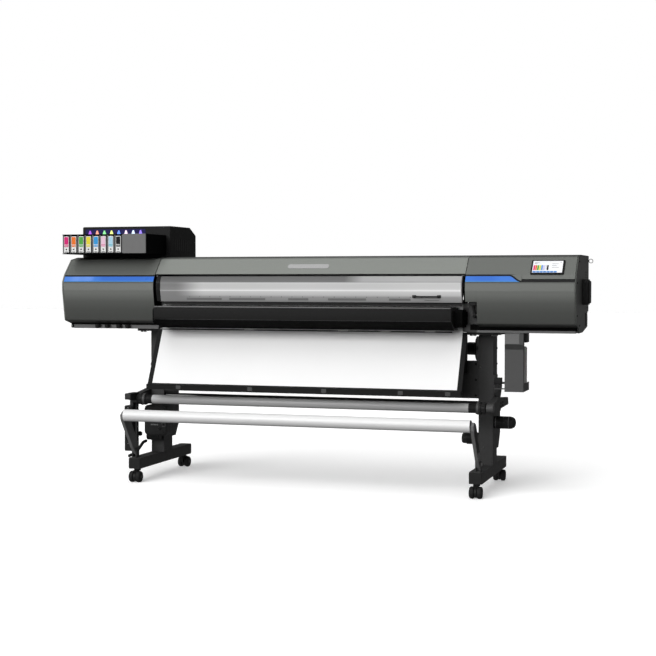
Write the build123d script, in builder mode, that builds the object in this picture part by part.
from build123d import *
import math
import os

# Roll printer and cutter on a caster stand.
# Millimetres. +X runs along the body, -Y is the operator's side, +Z is up.
# The origin is on the floor, under the middle of the whole machine.

# ---- driving dimensions ----
END_X = 1405            # the machine reaches this far to both sides
BODY_RIGHT = 1369       # outer face of the right end panel
BAY_LEFT = -860         # print bay, between the two side covers
BAY_RIGHT = 821
SEAM = 1.5              # half of the gap between neighbouring covers
SKIN = 3                # cover thickness
PANEL = 4               # end panel thickness

STAND_X = -25           # the stand's middle
FOOT_OUT = 950          # stand's middle to a leg's outer face
FOOT_WIDE = 66
FOOT_LOW = 74
FOOT_HIGH = 131
FOOT_FRONT = -276
FOOT_REAR = 413
FRONT_STEM = FOOT_FRONT + 40    # caster stems, along the foot beam
REAR_STEM = FOOT_REAR - 47
COLUMN_WIDE = 75
COLUMN_FRONT = 14
COLUMN_DEEP = 110
STAND_TOP = 811         # the body stands on this height
FLANGE_THICK = 13
FLANGE_REACH = 46       # how far the top flange passes the column on both sides
SHAFT_ARM = (877, 909)  # rear shaft arm, out from the stand's middle
TUBE_WALL = 3

DECK_Z = 1199           # flat top of the body
BODY_REAR = 294
CHASSIS_LOW = 812
PLATEN_Z = 955          # surface that the media slides on
MEDIA_THICK = 0.6
MEDIA_LEFT = -845
MEDIA_RIGHT = 795

WHEEL_R = 30
WHEEL_WIDE = 26.5
WEB_WIDE = 11.4         # caster web between the two wheels
CASTER_TRAIL = 20
AXLE_R = 4
RUNNING = 0.05          # radial running clearance of every shaft

FEED_Y = 105
FEED_R = 12
FEED_Z = PLATEN_Z - FEED_R
PINCH_R = 8
PINCH_Z = PLATEN_Z + MEDIA_THICK + 0.7 + PINCH_R
PINCH_BAR_Y = 150
PINCH_BAR_Z = 1000
PINCH_BAR_R = 6

DANCER_PIVOT = (-240, 168)      # y, z
DANCER_ROLLER = (-385, 369)
DANCER_R = 31
ARM_THICK = 16
ARM_INNER_LEFT = -943
ARM_INNER_RIGHT = 893

TAKEUP = (-156, 436)
TAKEUP_R = 24
SPINDLE_R = 8
MEDIA_SHAFT = (300, 711)

HOOD_HINGE = (-179, 1096)
HOOD_LEFT = -845
HOOD_RIGHT = 808

INK_LEFT = -1394
INK_RIGHT = -863
INK_TOP = 1370
TRAY_COUNT = 8
TRAY_PITCH = 44
TRAY_WIDE = 36
TRAY_FIRST = -1353      # middle of the first ink tray

os.makedirs("parts", exist_ok=True)


# ---- helpers ----
def save(builder, name):
    """Label a finished sub-part and write it as its own node."""
    builder.part.label = name
    export_step(builder.part, f"parts/{name}.step")


def block(x, y, z, mode=Mode.ADD):
    """A box between two X, two Y and two Z values."""
    middle = [(low + high) / 2 for low, high in (x, y, z)]
    size = [high - low for low, high in (x, y, z)]
    with Locations(tuple(middle)):
        return Box(*size, mode=mode)


def rod(x, centre, radius, mode=Mode.ADD):
    """A cylinder along X between two X values, about a (y, z) centre."""
    at = Location(((x[0] + x[1]) / 2, *centre), (0, 90, 0))
    with Locations(at):
        return Cylinder(radius, x[1] - x[0], mode=mode)


def plate(x, outline, mode=Mode.ADD):
    """A flat plate between two X values with a (y, z) outline."""
    with BuildSketch(Plane.YZ.offset(x[0])) as face:
        with BuildLine():
            Polyline(*outline, close=True)
        make_face()
    return extrude(face.sketch, amount=x[1] - x[0], mode=mode)


def bent_sheet(x, path, thickness, side=Side.RIGHT, radius=0):
    """A sheet of even thickness along a (y, z) path, between two X values."""
    with BuildSketch(Plane.YZ.offset(x[0])) as face:
        with BuildLine():
            if radius:
                FilletPolyline(*path, radius=radius)
            else:
                Polyline(*path)
            offset(amount=thickness, side=side)
        make_face()
    return extrude(face.sketch, amount=x[1] - x[0])


def both_legs(x_low, x_high):
    """The X spans of a feature on both legs, given from the stand's middle."""
    return (STAND_X - x_high, STAND_X - x_low), (STAND_X + x_low, STAND_X + x_high)


# ---- outline of the body, seen from the right end ----
SLOPE_LOW = (-183, 1102)
SLOPE_HIGH = (-103, 1186)
DECK_FRONT = (-26, DECK_Z)
BROW = (-204, 1064)
CHEEK = (-204, 1020)
CHIN_TOP = (-195, 966)
CHIN = (-178, 856)
TUCK = (-103, 836)
END_OUTLINE = [
    TUCK, CHIN, CHIN_TOP, CHEEK, BROW, SLOPE_LOW, SLOPE_HIGH, DECK_FRONT,
    (BODY_REAR, DECK_Z), (BODY_REAR, 912), (254, 912), (254, 835), (54, CHASSIS_LOW), (-103, CHASSIS_LOW),
]


def on_slope(z):
    """The point of the screen slope at a given height."""
    share = (z - SLOPE_LOW[1]) / (SLOPE_HIGH[1] - SLOPE_LOW[1])
    return (SLOPE_LOW[0] + share * (SLOPE_HIGH[0] - SLOPE_LOW[0]), z)


def on_brow(z):
    """The point of the light-bar band at a given height."""
    share = (z - BROW[1]) / (SLOPE_LOW[1] - BROW[1])
    return (BROW[0] + share * (SLOPE_LOW[0] - BROW[0]), z)


# ==== stand ====
REAR_BOX = [(124, 465), (215, 465), (219, 279), (170, 207), (124, 207)]
REAR_BOX_INSIDE = [(120, 462), (212, 462), (216, 280), (168, 210), (120, 210)]


def leg(x_span, foot_span, arm_span, name):
    """Foot beam, column, top flange and rear shaft arm, welded into one leg."""
    column_rear = COLUMN_FRONT + COLUMN_DEEP
    middle_x = sum(foot_span) / 2
    with BuildPart() as part:
        block(foot_span, (FOOT_FRONT, FOOT_REAR), (FOOT_LOW, FOOT_HIGH))
        fillet(part.edges().filter_by(Axis.Z), 8)
        flange_low = STAND_TOP - FLANGE_THICK
        block(x_span, (COLUMN_FRONT, column_rear), (FOOT_HIGH, flange_low))
        plate(x_span, REAR_BOX)
        block((x_span[0] - FLANGE_REACH, x_span[1] + FLANGE_REACH), (-60, 210), (flange_low, STAND_TOP))
        block(arm_span, (column_rear, MEDIA_SHAFT[0] + 30), (692, 730))
        foot_inner = (foot_span[0] + TUBE_WALL, foot_span[1] - TUBE_WALL)
        block(foot_inner, (FRONT_STEM + 24, REAR_STEM - 24), (FOOT_LOW + TUBE_WALL, FOOT_HIGH - TUBE_WALL),
              mode=Mode.SUBTRACT)
        with Locations((middle_x, COLUMN_FRONT - 60, FOOT_LOW)):
            Cylinder(8, 20, mode=Mode.SUBTRACT)
        inner = (x_span[0] + TUBE_WALL, x_span[1] - TUBE_WALL)
        hollow_y = (COLUMN_FRONT + TUBE_WALL, column_rear - TUBE_WALL)
        block(inner, hollow_y, (FOOT_HIGH + 6, flange_low - 7), mode=Mode.SUBTRACT)
        plate(inner, REAR_BOX_INSIDE, mode=Mode.SUBTRACT)
        with Locations(Location((middle_x, column_rear - 2, 600), (90, 0, 0))):
            Cylinder(12, 16, mode=Mode.SUBTRACT)
        rod(arm_span, MEDIA_SHAFT, SPINDLE_R + RUNNING, mode=Mode.SUBTRACT)
        for stem_y in (FRONT_STEM, REAR_STEM):
            with Locations((middle_x, stem_y, FOOT_LOW + 13)):
                Cylinder(6 + RUNNING, 26.2, mode=Mode.SUBTRACT)
    save(part, name)


LEFT_COLUMN, RIGHT_COLUMN = both_legs(FOOT_OUT - COLUMN_WIDE, FOOT_OUT)
LEFT_FOOT, RIGHT_FOOT = both_legs(FOOT_OUT - FOOT_WIDE, FOOT_OUT)
LEFT_SHAFT_ARM, RIGHT_SHAFT_ARM = both_legs(*SHAFT_ARM)
leg(LEFT_COLUMN, LEFT_FOOT, LEFT_SHAFT_ARM, "left_leg")
leg(RIGHT_COLUMN, RIGHT_FOOT, RIGHT_SHAFT_ARM, "right_leg")

# cross panel: an open channel that ties the columns together
with BuildPart() as cross_panel:
    bent_sheet((LEFT_COLUMN[1], RIGHT_COLUMN[0]), [(80, 470), (20, 470), (20, 660), (80, 660)], TUBE_WALL)
save(cross_panel, "cross_panel")

# stay bar: a round tube low between the columns
with BuildPart() as stay_bar:
    rod((LEFT_COLUMN[1], RIGHT_COLUMN[0]), (50, 438), 16)
    rod((LEFT_COLUMN[1], RIGHT_COLUMN[0]), (50, 438), 13, mode=Mode.SUBTRACT)
save(stay_bar, "stay_bar")


# casters: a fork with a web between two wheels, on a stem that turns in the foot beam
def caster(x, stem_y, trail, name):
    """One caster; trail is the signed distance from the stem to the axle."""
    axle = (stem_y + trail, WHEEL_R)
    web = (x - WEB_WIDE / 2, x + WEB_WIDE / 2)
    with BuildPart() as fork:
        rod(web, axle, 25)
        near, far = sorted((stem_y - 14 * math.copysign(1, trail), axle[0]))
        block(web, (near, far), (WHEEL_R, 64))
        with Locations((x, stem_y, 67.1)):
            Cylinder(18, 12.8)
        with Locations((x, stem_y, 84)):
            Cylinder(6, 28)
        rod(web, axle, AXLE_R + RUNNING, mode=Mode.SUBTRACT)
    save(fork, "caster_fork_" + name)

    with BuildPart() as wheels:
        rod((x - WEB_WIDE / 2 - 10, x + WEB_WIDE / 2 + 10), axle, AXLE_R)
        for side in (-1, 1):
            inner = x + side * (WEB_WIDE / 2 + 0.4)
            outer = x + side * (WEB_WIDE / 2 + 0.4 + WHEEL_WIDE)
            rod(sorted((inner, outer)), axle, WHEEL_R)
        rims = wheels.edges().filter_by(GeomType.CIRCLE).filter_by(lambda e: abs(e.radius - WHEEL_R) < 0.1)
        fillet(rims, 4)
    save(wheels, "caster_wheels_" + name)


for side, span in (("left", LEFT_FOOT), ("right", RIGHT_FOOT)):
    caster(sum(span) / 2, FRONT_STEM, -CASTER_TRAIL, "front_" + side)
    caster(sum(span) / 2, REAR_STEM, CASTER_TRAIL, "rear_" + side)

# ==== take-up unit ====
ARM_OUTLINE = [(-142, 421), (-142, 460), (11, 479), (253, 461), (263, 423), (50, 420), (33, 410)]
LEFT_TAKEUP_ARM, RIGHT_TAKEUP_ARM = both_legs(FOOT_OUT, FOOT_OUT + 35)

with BuildPart() as takeup_arms:
    for span in (LEFT_TAKEUP_ARM, RIGHT_TAKEUP_ARM):
        plate(span, ARM_OUTLINE)
        rod(span, TAKEUP, 21)
        rod(span, TAKEUP, SPINDLE_R + RUNNING, mode=Mode.SUBTRACT)
save(takeup_arms, "takeup_arms")

TUBE_LEFT, TUBE_RIGHT = STAND_X - 861, STAND_X + 861
with BuildPart() as takeup_tube:
    rod((TUBE_LEFT, TUBE_RIGHT), TAKEUP, TAKEUP_R)
    rod((TUBE_LEFT, TUBE_RIGHT), TAKEUP, TAKEUP_R - 2.5, mode=Mode.SUBTRACT)
save(takeup_tube, "takeup_tube")

# each hub is a plug in the tube, a gripping collar, a flange and a spindle in the arm's boss
HUB_STEPS = [(-30, -0.1, 21.3), (-0.1, 36, 25), (36, 58, 30), (58, 63, 33), (63, 86, 27),
             (86, 119, SPINDLE_R)]
with BuildPart() as takeup_hubs:
    for low, high, radius in HUB_STEPS:
        rod((TUBE_RIGHT + low + 0.2, TUBE_RIGHT + high + 0.2), TAKEUP, radius)
        rod((TUBE_LEFT - high - 0.2, TUBE_LEFT - low - 0.2), TAKEUP, radius)
save(takeup_hubs, "takeup_hubs")

# motor outside the right column and its gearbox inside it
with BuildPart() as takeup_drive:
    rod((RIGHT_COLUMN[1], RIGHT_COLUMN[1] + 112), (50, 348), 32)
    rod((RIGHT_COLUMN[0] - 66, RIGHT_COLUMN[0]), (50, 262), 31)
    rod((RIGHT_COLUMN[0] - 91, RIGHT_COLUMN[0] - 66), (50, 262), 25)
    round_edges = takeup_drive.edges().filter_by(GeomType.CIRCLE).group_by(Axis.X)
    fillet(round_edges[0] + round_edges[-1], 5)
save(takeup_drive, "takeup_drive")

# sensor box: a tall housing outside the left leg, hung from the take-up arm
SENSOR_LEFT = LEFT_TAKEUP_ARM[0] - 52
with BuildPart() as sensor_box:
    block((SENSOR_LEFT, LEFT_TAKEUP_ARM[0] - 4), (-150, -64), (150, 395))
    fillet(sensor_box.edges().filter_by(Axis.Z), 6)
    block((LEFT_TAKEUP_ARM[0] - 22, LEFT_TAKEUP_ARM[0]), (-142, -100), (380, 458))
save(sensor_box, "sensor_box")

# switch box on the left column, with the take-up direction switch
SWITCH_X = -862
SWITCH_Z = 292
SWITCH_BOX_FRONT = -76
with BuildPart() as switch_box:
    block((-978, -842), (SWITCH_BOX_FRONT, COLUMN_FRONT), (230, 396))
    front_edges = switch_box.edges().group_by(Axis.Y)[0]
    fillet(front_edges, 10)
    block((SWITCH_X - 7, SWITCH_X + 7), (SWITCH_BOX_FRONT - 1, SWITCH_BOX_FRONT + 14),
          (SWITCH_Z - 10, SWITCH_Z + 10), mode=Mode.SUBTRACT)
    rod((SWITCH_X - 10, SWITCH_X + 10), (SWITCH_BOX_FRONT + 6, SWITCH_Z), 1.5 + RUNNING, mode=Mode.SUBTRACT)
save(switch_box, "switch_box")

with BuildPart() as direction_switch:
    rod((SWITCH_X - 6, SWITCH_X + 6), (SWITCH_BOX_FRONT + 6, SWITCH_Z), 5)
    block((SWITCH_X - 6, SWITCH_X + 6), (SWITCH_BOX_FRONT - 4, SWITCH_BOX_FRONT + 3),
          (SWITCH_Z - 6, SWITCH_Z + 6))
    rod((SWITCH_X - 9, SWITCH_X + 9), (SWITCH_BOX_FRONT + 6, SWITCH_Z), 1.5)
save(direction_switch, "direction_switch")

# dancer brackets: two ears and a pivot pin on each foot beam
with BuildPart() as dancer_brackets:
    for low in (ARM_INNER_LEFT - ARM_THICK, ARM_INNER_RIGHT):
        ears = ((low - 5.5, low - 0.5), (low + ARM_THICK + 0.5, low + ARM_THICK + 5.5))
        block((ears[0][0], ears[1][1]), (-266, -206), (FOOT_HIGH, FOOT_HIGH + 4))
        for ear in ears:
            block(ear, (-258, -222), (FOOT_HIGH + 4, 184))
        rod((ears[0][0] - 2, ears[1][1] + 2), DANCER_PIVOT, 5)
save(dancer_brackets, "dancer_brackets")

LEAN = math.degrees(math.atan2(DANCER_PIVOT[0] - DANCER_ROLLER[0], DANCER_ROLLER[1] - DANCER_PIVOT[1]))
ARM_LENGTH = math.dist(DANCER_PIVOT, DANCER_ROLLER)


def dancer_arm(low, open_side):
    """A channel-shaped arm from the pivot up to the roller, 16 mm thick, open on one side."""
    at = Plane(origin=(low, *DANCER_PIVOT), x_dir=(0, 1, 0), z_dir=(1, 0, 0)).rotated((LEAN, 0, 0))
    with BuildSketch(at) as outline:
        with BuildLine():
            Polyline((-16, -14), (16, -14), (38, 46), (38, ARM_LENGTH - 20), (14, ARM_LENGTH + 14),
                     (-16, ARM_LENGTH + 14), (-26, ARM_LENGTH - 6), (-26, 46), close=True)
        make_face()
    extrude(outline.sketch, amount=ARM_THICK)
    pocket_plane = at.offset(ARM_THICK - 12.5 if open_side > 0 else 0)
    with BuildSketch(pocket_plane) as pocket:
        with BuildLine():
            Polyline((-22, 50), (34, 50), (34, ARM_LENGTH - 26), (-22, ARM_LENGTH - 26), close=True)
        make_face()
    extrude(pocket.sketch, amount=12.5, mode=Mode.SUBTRACT)
    rod((low, low + ARM_THICK), DANCER_PIVOT, 5 + RUNNING, mode=Mode.SUBTRACT)
    rod((low, low + ARM_THICK), DANCER_ROLLER, SPINDLE_R + RUNNING, mode=Mode.SUBTRACT)


with BuildPart() as dancer_arms:
    dancer_arm(ARM_INNER_LEFT - ARM_THICK, -1)
    dancer_arm(ARM_INNER_RIGHT, 1)
save(dancer_arms, "dancer_arms")

with BuildPart() as dancer_roller:
    rod((ARM_INNER_LEFT + 0.5, ARM_INNER_RIGHT - 0.5), DANCER_ROLLER, DANCER_R)
    rod((ARM_INNER_LEFT + 6, ARM_INNER_RIGHT - 6), DANCER_ROLLER, DANCER_R - 2.5, mode=Mode.SUBTRACT)
    rod((ARM_INNER_LEFT - 14, ARM_INNER_RIGHT + 14), DANCER_ROLLER, SPINDLE_R)
save(dancer_roller, "dancer_roller")

# rear media shaft with two flanges that centre a roll of media
with BuildPart() as media_shaft:
    rod((LEFT_SHAFT_ARM[0] + 1, RIGHT_SHAFT_ARM[1] - 1), MEDIA_SHAFT, SPINDLE_R)
    rod((LEFT_SHAFT_ARM[1] + 5, RIGHT_SHAFT_ARM[0] - 5), MEDIA_SHAFT, 14)
    for flange_x, inward in ((MEDIA_LEFT + 10, 1), (MEDIA_RIGHT - 10, -1)):
        rod(sorted((flange_x, flange_x - inward * 8)), MEDIA_SHAFT, 65)
        rod(sorted((flange_x, flange_x + inward * 50)), MEDIA_SHAFT, 33)
save(media_shaft, "media_shaft")

# ==== waste ink ====
DRAIN_X = (1008, 1102)
DRAIN_FRONT = -126
BOTTLE_Y = (-92, 26)
with BuildPart() as drain_cover:
    block(DRAIN_X, (DRAIN_FRONT, -98), (519, STAND_TOP))
    block((DRAIN_X[0] + SKIN, DRAIN_X[1] - SKIN), (DRAIN_FRONT + SKIN, -98), (522, STAND_TOP - SKIN),
          mode=Mode.SUBTRACT)
    block(DRAIN_X, (-98, 50), (519, 560))
    block((DRAIN_X[0] + SKIN, DRAIN_X[1] - SKIN), (DRAIN_FRONT + SKIN, 51), (522, 561), mode=Mode.SUBTRACT)
    rod((RIGHT_COLUMN[1], DRAIN_X[0] + 1), (30, 552), 6)
    block((RIGHT_COLUMN[1], RIGHT_COLUMN[1] + 6), (18, 110), (500, 590))
    block((RIGHT_COLUMN[1], DRAIN_X[0]), (18, 42), (519, 524))
save(drain_cover, "drain_cover")

with BuildPart() as drain_bottle:
    block((DRAIN_X[0] + 6, DRAIN_X[1] - 5), BOTTLE_Y, (522.4, 740))
    fillet(drain_bottle.edges().filter_by(Axis.Z), 12)
    fillet(drain_bottle.faces().sort_by(Axis.Z)[-1].edges(), 10)
    with Locations((sum(DRAIN_X) / 2, sum(BOTTLE_Y) / 2, 748)):
        Cylinder(20, 36)
    with Locations((sum(DRAIN_X) / 2, sum(BOTTLE_Y) / 2, 752)):
        Cylinder(13, 30, mode=Mode.SUBTRACT)
save(drain_bottle, "drain_bottle")

# ==== chassis ====
CHASSIS_X = (-END_X + PANEL + 12, BODY_RIGHT - PANEL - 12)
CHASSIS_FRONT, CHASSIS_REAR = -95, 245
LEVER_PIVOT = (-132, 900)
with BuildPart() as chassis:
    block(CHASSIS_X, (CHASSIS_FRONT, CHASSIS_REAR), (CHASSIS_LOW, CHASSIS_LOW + 4))
    block(CHASSIS_X, (CHASSIS_FRONT, CHASSIS_FRONT + 4), (CHASSIS_LOW, 936))
    block(CHASSIS_X, (CHASSIS_REAR - 4, CHASSIS_REAR), (CHASSIS_LOW, 936))
    for low in (CHASSIS_X[0], CHASSIS_X[1] - 6):
        block((low, low + 6), (CHASSIS_FRONT, CHASSIS_REAR), (CHASSIS_LOW, 1150))
    block((884, 890), (-147, CHASSIS_FRONT), (870, 915))
    rod((846, 887), LEVER_PIVOT, 5)
save(chassis, "chassis")

# platen: two strips joined at the ends, with the feed roller between them
PLATEN_X = (BAY_LEFT + 2, BAY_RIGHT + 9)
with BuildPart() as platen:
    block(PLATEN_X, (-108, 200), (936.2, PLATEN_Z))
    block((PLATEN_X[0] + 12, PLATEN_X[1] - 12), (FEED_Y - 15, FEED_Y + 15), (930, PLATEN_Z + 1),
          mode=Mode.SUBTRACT)
    for low in (PLATEN_X[0], PLATEN_X[1] - 12):
        block((low, low + 12), (FEED_Y - 15, FEED_Y + 15), (925, 936.2))
    rod(PLATEN_X, (FEED_Y, FEED_Z), 6 + RUNNING, mode=Mode.SUBTRACT)
save(platen, "platen")

with BuildPart() as feed_roller:
    rod((PLATEN_X[0] + 1, PLATEN_X[1] - 1), (FEED_Y, FEED_Z), 6)
    segment_gap = (PLATEN_X[1] - PLATEN_X[0] - 60) / 12
    for index in range(12):
        low = PLATEN_X[0] + 45 + index * segment_gap
        rod((low, low + 90), (FEED_Y, FEED_Z), FEED_R)
save(feed_roller, "feed_roller")

# guide rail: beam between the chassis ends, with the linear rail on its front and two hangers
RAIL_FRONT = 112
with BuildPart() as guide_rail:
    beam_x = (CHASSIS_X[0] + 6, CHASSIS_X[1] - 6)
    bent_sheet(beam_x, [(200, 1040), (120, 1040), (120, 1120), (200, 1120)], 4)
    block(beam_x, (RAIL_FRONT, 120), (1072, 1090))
    for low in (BAY_LEFT + 4, BAY_RIGHT + 1):
        block((low, low + 6), (130, 170), (985, 1040))
        rod((low - 1, low + 7), (PINCH_BAR_Y, PINCH_BAR_Z), PINCH_BAR_R + RUNNING, mode=Mode.SUBTRACT)
save(guide_rail, "guide_rail")

# pinch arms on one bar, and the pinch rollers that they press on the feed roller
PINCH_COUNT = 9
PINCH_FIRST = -810
PINCH_STEP = 196
CHEEK_OUTLINE = [
    (FEED_Y - 6, PINCH_Z - 5), (FEED_Y + 8, PINCH_Z - 5), (PINCH_BAR_Y + 8, PINCH_BAR_Z - 8),
    (PINCH_BAR_Y + 8, PINCH_BAR_Z + 8), (PINCH_BAR_Y - 8, PINCH_BAR_Z + 8), (FEED_Y - 6, PINCH_Z + 8),
]
with BuildPart() as pinch_arms:
    rod((BAY_LEFT + 5, BAY_RIGHT + 6), (PINCH_BAR_Y, PINCH_BAR_Z), PINCH_BAR_R)
    for index in range(PINCH_COUNT):
        middle = PINCH_FIRST + index * PINCH_STEP
        for cheek in (middle - 22, middle + 18):
            plate((cheek, cheek + 4), CHEEK_OUTLINE)
            rod((cheek, cheek + 4), (FEED_Y, PINCH_Z), 2.5 + RUNNING, mode=Mode.SUBTRACT)
save(pinch_arms, "pinch_arms")

with BuildPart() as pinch_rollers:
    for index in range(PINCH_COUNT):
        middle = PINCH_FIRST + index * PINCH_STEP
        rod((middle - 21, middle + 21), (FEED_Y, PINCH_Z), 2.5)
        rod((middle - 17, middle + 17), (FEED_Y, PINCH_Z), PINCH_R)
save(pinch_rollers, "pinch_rollers")

# loading lever: lifts the pinch arms; its end stands in the corner notch of the right cover
with BuildPart() as loading_lever:
    rod((850, 864), LEVER_PIVOT, 14)
    plate((852, 862), [(-140, 904), (-124, 912), (-158, 966), (-176, 972), (-178, 955)])
    block((842, 874), (-186, -158), (950, 964))
    rod((850, 864), LEVER_PIVOT, 5 + RUNNING, mode=Mode.SUBTRACT)
save(loading_lever, "loading_lever")

# ==== print and cut ====
CARRIAGE_X = (1000, 1240)
with BuildPart() as print_carriage:
    block(CARRIAGE_X, (-130, 60), (985, 1125))
    fillet(print_carriage.edges().filter_by(Axis.X).group_by(Axis.Z)[-1], 14)
    block((CARRIAGE_X[0] + SKIN, CARRIAGE_X[1] - SKIN), (-127, 57), (984, 1110), mode=Mode.SUBTRACT)
    block((CARRIAGE_X[0] + 40, CARRIAGE_X[1] - 40), (59, RAIL_FRONT - 0.5), (1050, 1110))
save(print_carriage, "print_carriage")

with BuildPart() as print_heads:
    for row in range(2):
        for column in range(3):
            low = CARRIAGE_X[0] + 24 + column * 68
            front = -110 + row * 82
            block((low, low + 52), (front, front + 62), (974, 1010))
    block((CARRIAGE_X[0] + SKIN, CARRIAGE_X[1] - SKIN), (-127, 57), (1006, 1010))
save(print_heads, "print_heads")

CUTTER_X = (-1210, -1130)
with BuildPart() as cutter_carriage:
    block(CUTTER_X, (-50, 60), (1000, 1105))
    block((CUTTER_X[0] + 10, CUTTER_X[1] - 10), (59, RAIL_FRONT - 0.5), (1050, 1105))
    with Locations((sum(CUTTER_X) / 2, -62, 1015)):
        Cylinder(11, 70)
    block((sum(CUTTER_X) / 2 - 16, sum(CUTTER_X) / 2 + 16), (-66, -49), (1005, 1030))
    with Locations((sum(CUTTER_X) / 2, -62, 976)):
        Cylinder(4, 10)
save(cutter_carriage, "cutter_carriage")

# carriage drive: motor at the left end, two pulleys and the toothed belt round them
BELT_Z = 1150
PULLEY_X = (CHASSIS_X[0] + 60, CHASSIS_X[1] - 60)
PULLEY_Y = 160
PULLEY_R = 20
with BuildPart() as carriage_drive:
    for x in PULLEY_X:
        with Locations((x, PULLEY_Y, BELT_Z)):
            Cylinder(PULLEY_R, 14)
    with Locations((PULLEY_X[0], PULLEY_Y, 1132)):
        Cylinder(8, 24)
    with Locations((PULLEY_X[1], PULLEY_Y, 1132)):
        Cylinder(8, 24)
    for side in (-1, 1):
        y_near = PULLEY_Y + side * (PULLEY_R + 0.2)
        block(PULLEY_X, sorted((y_near, y_near + side * 2)), (BELT_Z - 5, BELT_Z + 5))
    with Locations((PULLEY_X[0], PULLEY_Y, BELT_Z + 23)):
        Cylinder(24, 30)
save(carriage_drive, "carriage_drive")

with BuildPart() as capping_station:
    block((1010, 1230), (-85, 50), (880, 925))
    for row in range(2):
        for column in range(3):
            low = CARRIAGE_X[0] + 21 + column * 68
            front = -82 + row * 68
            block((low, low + 58), (front, front + 56), (925, 950))
            block((low + 4, low + 54), (front + 4, front + 52), (935, 951), mode=Mode.SUBTRACT)
save(capping_station, "capping_station")

# ==== media path in front ====
APRON_PATH = [(-113, 945), (-113, 824), (-266, 506)]
APRON_BEND = 150
APRON_TURN = math.atan2(153, 318)
APRON_SPLIT = 812


def behind_apron(z):
    """A point inside the apron's sheet, on its straight sloping part."""
    return (APRON_PATH[1][0] + 1 - (APRON_PATH[1][1] - z) * math.tan(APRON_TURN), z)


with BuildPart() as apron:
    bent_sheet((MEDIA_LEFT - 25, MEDIA_RIGHT + 25), APRON_PATH, 2, Side.LEFT, APRON_BEND)
    block((MEDIA_LEFT - 26, MEDIA_LEFT - 1), (-140, -90), (APRON_SPLIT, 946), mode=Mode.SUBTRACT)
    block((MEDIA_RIGHT + 1, MEDIA_RIGHT + 26), (-140, -90), (APRON_SPLIT, 946), mode=Mode.SUBTRACT)
    block((MEDIA_LEFT - 25, MEDIA_RIGHT + 25), (-276, -248), (500, 526))
    for low in (MEDIA_LEFT + 4, MEDIA_RIGHT - 10):
        plate((low, low + 6), [behind_apron(790), (19.5, 790), (19.5, 600), (-205, 600), behind_apron(612)])
save(apron, "apron")

# one sheet of media, over the platen and down the apron
SHEET_GAP = 0.3
SHEET_DROP = 325
SHEET_BEND = (-113 - SHEET_GAP, 824 + SHEET_GAP * math.tan(APRON_TURN / 2))
SHEET_END = (SHEET_BEND[0] - SHEET_DROP * math.sin(APRON_TURN),
             SHEET_BEND[1] - SHEET_DROP * math.cos(APRON_TURN))
with BuildPart() as media_sheet:
    path = [(198, PLATEN_Z + SHEET_GAP), (SHEET_BEND[0], PLATEN_Z + SHEET_GAP), SHEET_BEND, SHEET_END]
    with BuildSketch(Plane.YZ.offset(MEDIA_LEFT)) as web:
        with BuildLine():
            FilletPolyline(*path, radius=[4, APRON_BEND - SHEET_GAP])
            offset(amount=MEDIA_THICK, side=Side.RIGHT)
        make_face()
    extrude(web.sketch, amount=MEDIA_RIGHT - MEDIA_LEFT)
save(media_sheet, "media_sheet")

# dryer bar: housing in front of the apron, held at its ends
DRYER_X = (-820, 770)
DRYER_OUTLINE = [(-128, 823), (-205, 823), (-286, 872), (-286, 937), (-128, 937)]
DRYER_INSIDE = [(-131, 826), (-204, 826), (-283, 874), (-283, 938), (-131, 938)]
with BuildPart() as dryer_bar:
    plate(DRYER_X, DRYER_OUTLINE)
    fillet(dryer_bar.edges().filter_by(Axis.X).group_by(Axis.Y)[0], 4)
    plate((DRYER_X[0] + SKIN, DRYER_X[1] - SKIN), DRYER_INSIDE, mode=Mode.SUBTRACT)
    block(DRYER_X, (-276, -132), (930, 933))
    for low, high in ((MEDIA_RIGHT + 4, BAY_RIGHT - 4), (BAY_LEFT - 1 + 4, MEDIA_LEFT - 4)):
        block((low, high), (-220, CHASSIS_FRONT), (838, 925))
    block((DRYER_X[1] - SKIN, MEDIA_RIGHT + 4), (-220, -135), (838, 925))
    block((MEDIA_LEFT - 4, DRYER_X[0] + SKIN), (-220, -135), (838, 925))
save(dryer_bar, "dryer_bar")

# ==== covers ====
LEFT_X = (-END_X + PANEL, BAY_LEFT - SEAM)
RIGHT_X = (BAY_RIGHT + SEAM, BODY_RIGHT - PANEL)
TOP_PATH = [SLOPE_LOW, SLOPE_HIGH, DECK_FRONT, (BODY_REAR - SKIN - 0.5, DECK_Z)]
FRONT_PATH = [TUCK, CHIN, CHIN_TOP, CHEEK, (BROW[0], BROW[1] - 1)]

with BuildPart() as left_top_cover:
    bent_sheet(LEFT_X, TOP_PATH, SKIN)
save(left_top_cover, "left_top_cover")

with BuildPart() as right_top_cover:
    bent_sheet(RIGHT_X, TOP_PATH, SKIN)
    bent_sheet((1100, RIGHT_X[1]), [on_brow(1079), SLOPE_LOW, on_slope(1104)], SKIN)
save(right_top_cover, "right_top_cover")

with BuildPart() as center_top_cover:
    center_path = [on_slope(1106), *TOP_PATH[1:]]
    bent_sheet((BAY_LEFT + SEAM, BAY_RIGHT - SEAM), center_path, SKIN)
save(center_top_cover, "center_top_cover")

with BuildPart() as left_front_cover:
    bent_sheet(LEFT_X, FRONT_PATH, SKIN)
save(left_front_cover, "left_front_cover")

# the right cover has a notch in its lower inner corner for the loading lever
with BuildPart() as right_front_cover:
    bent_sheet(RIGHT_X, FRONT_PATH, SKIN)
    block((RIGHT_X[0] - 1, 880), (-215, -160), (853, 976), mode=Mode.SUBTRACT)
save(right_front_cover, "right_front_cover")

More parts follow.
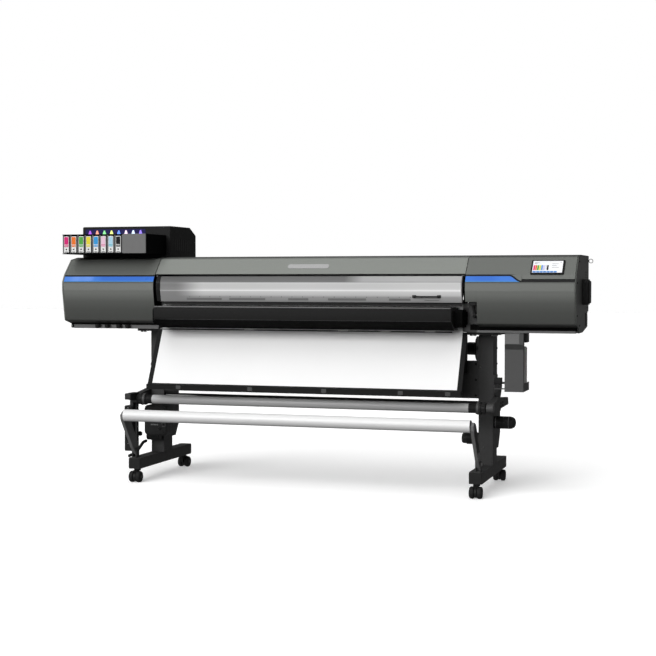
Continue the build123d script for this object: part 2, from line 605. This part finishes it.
# rear cover: a stepped sill, two side panels and one panel above the media slot
SLOT_Z = (916, 1000)
REAR_X = (LEFT_X[0], RIGHT_X[1])
with BuildPart() as rear_cover:
    bent_sheet(REAR_X, [(254, 836), (254, 912), (BODY_REAR, 912), (BODY_REAR, SLOT_Z[0])], SKIN, Side.LEFT)
    panel_y = (BODY_REAR - SKIN, BODY_REAR)
    block((REAR_X[0], BAY_LEFT), panel_y, (SLOT_Z[0] + SEAM, DECK_Z))
    block((BAY_RIGHT, REAR_X[1]), panel_y, (SLOT_Z[0] + SEAM, DECK_Z))
    block((BAY_LEFT + SEAM, BAY_RIGHT - SEAM), panel_y, (SLOT_Z[1], DECK_Z))
save(rear_cover, "rear_cover")

POWER_Y = 175
POWER_Z = 892
with BuildPart() as end_panels:
    plate((-END_X, -END_X + PANEL), END_OUTLINE)
    plate((BODY_RIGHT - PANEL, BODY_RIGHT), END_OUTLINE)
    with BuildSketch(Plane.YZ.offset(BODY_RIGHT)) as grip:
        with Locations((75, 1014)):
            RectangleRounded(86, 128, 14)
        with Locations((POWER_Y, 858)):
            RectangleRounded(30, 24, 3)
    extrude(grip.sketch.faces().sort_by(Axis.Z)[-1], amount=END_X - BODY_RIGHT, taper=8)
    extrude(grip.sketch.faces().sort_by(Axis.Z)[0], amount=3)
    block((BODY_RIGHT - 1, BODY_RIGHT + 4), (POWER_Y - 10, POWER_Y + 10), (851, 865), mode=Mode.SUBTRACT)
    block((BODY_RIGHT - PANEL - 1, BODY_RIGHT + 1), (POWER_Y - 7.5, POWER_Y + 7.5),
          (POWER_Z - 11.5, POWER_Z + 11.5), mode=Mode.SUBTRACT)
save(end_panels, "end_panels")

with BuildPart() as power_switch:
    block((BODY_RIGHT - 5, BODY_RIGHT + 1), (POWER_Y - 6.5, POWER_Y + 6.5), (POWER_Z - 10, POWER_Z + 10))
    with Locations(Location((BODY_RIGHT - 3, POWER_Y, POWER_Z), (90, 0, 0))):
        Cylinder(1.5, 14.4)
save(power_switch, "power_switch")

# light bars: lenses between the top and front covers; the right one ends short
with BuildPart() as light_bars:
    lens_path = [on_brow(1065), on_brow(1098)]
    bent_sheet(LEFT_X, lens_path, 5)
    bent_sheet((RIGHT_X[0], 1096), lens_path, 5)
save(light_bars, "light_bars")

screen_middle = on_slope(1134)
with BuildPart(Plane(origin=(1224, *screen_middle), x_dir=(1, 0, 0), z_dir=(0, -84, 80))) as touch_screen:
    with Locations((0, 0, 0.3)):
        Box(164, 96, 6, align=(Align.CENTER, Align.CENTER, Align.MIN))
    fillet(touch_screen.faces().sort_by(Axis.Z)[-1].edges(), 2)
save(touch_screen, "touch_screen")

# front hood: a bent clear panel with a grip bar, on two hinge ears at its top
with BuildPart() as front_hood:
    hood_path = [(-194, 967), CHEEK, BROW, on_brow(1094)]
    bent_sheet((HOOD_LEFT, HOOD_RIGHT), hood_path, SKIN)
    for low in (HOOD_LEFT, HOOD_RIGHT - 5):
        plate((low, low + 5), [on_brow(1093), on_brow(1066), (-198, 1062), (-172, 1090), (-172, 1100),
                               (-180, 1101)])
    for ear_x in (HOOD_LEFT - 8, HOOD_RIGHT - 1):
        rod((ear_x, ear_x + 9), HOOD_HINGE, 3)
    block((559, 696), (-213, -199), (982, 1001))
save(front_hood, "front_hood")

# ==== ink unit ====
TRAY_FRONT = -246
TRAY_REAR = 196
TRAY_Z = (1218, 1312)
with BuildPart() as ink_case:
    plate((INK_LEFT, INK_RIGHT), [(24, DECK_Z + 0.5), (378, DECK_Z + 0.5), (378, 1328), (294, INK_TOP),
                                  (24, INK_TOP)])
    block((-1380, -888), (-238, 26), (1208, 1320))
    block((INK_LEFT + SKIN, INK_RIGHT - SKIN), (204, 375), (1190, 1325), mode=Mode.SUBTRACT)
    block((INK_LEFT + SKIN, INK_RIGHT - SKIN), (30, 292), (1323, INK_TOP - SKIN), mode=Mode.SUBTRACT)
    for index in range(TRAY_COUNT):
        middle = TRAY_FIRST + index * TRAY_PITCH
        block((middle - TRAY_WIDE / 2 - 0.8, middle + TRAY_WIDE / 2 + 0.8), (-239, 205),
              (TRAY_Z[0] - 0.8, TRAY_Z[1] + 0.8), mode=Mode.SUBTRACT)
save(ink_case, "ink_case")

for index in range(TRAY_COUNT):
    middle = TRAY_FIRST + index * TRAY_PITCH
    with BuildPart() as ink_tray:
        block((middle - TRAY_WIDE / 2, middle + TRAY_WIDE / 2), (TRAY_FRONT + 8, TRAY_REAR), TRAY_Z)
        block((middle - TRAY_WIDE / 2 + 2, middle + TRAY_WIDE / 2 - 2), (TRAY_FRONT + 40, TRAY_REAR - 2),
              (TRAY_Z[1] - 30, TRAY_Z[1] + 1), mode=Mode.SUBTRACT)
        block((middle - 14, middle + 14), (TRAY_FRONT, TRAY_FRONT + 9), (TRAY_Z[0] + 1, TRAY_Z[1] - 1))
    save(ink_tray, f"ink_tray_{index + 1}")
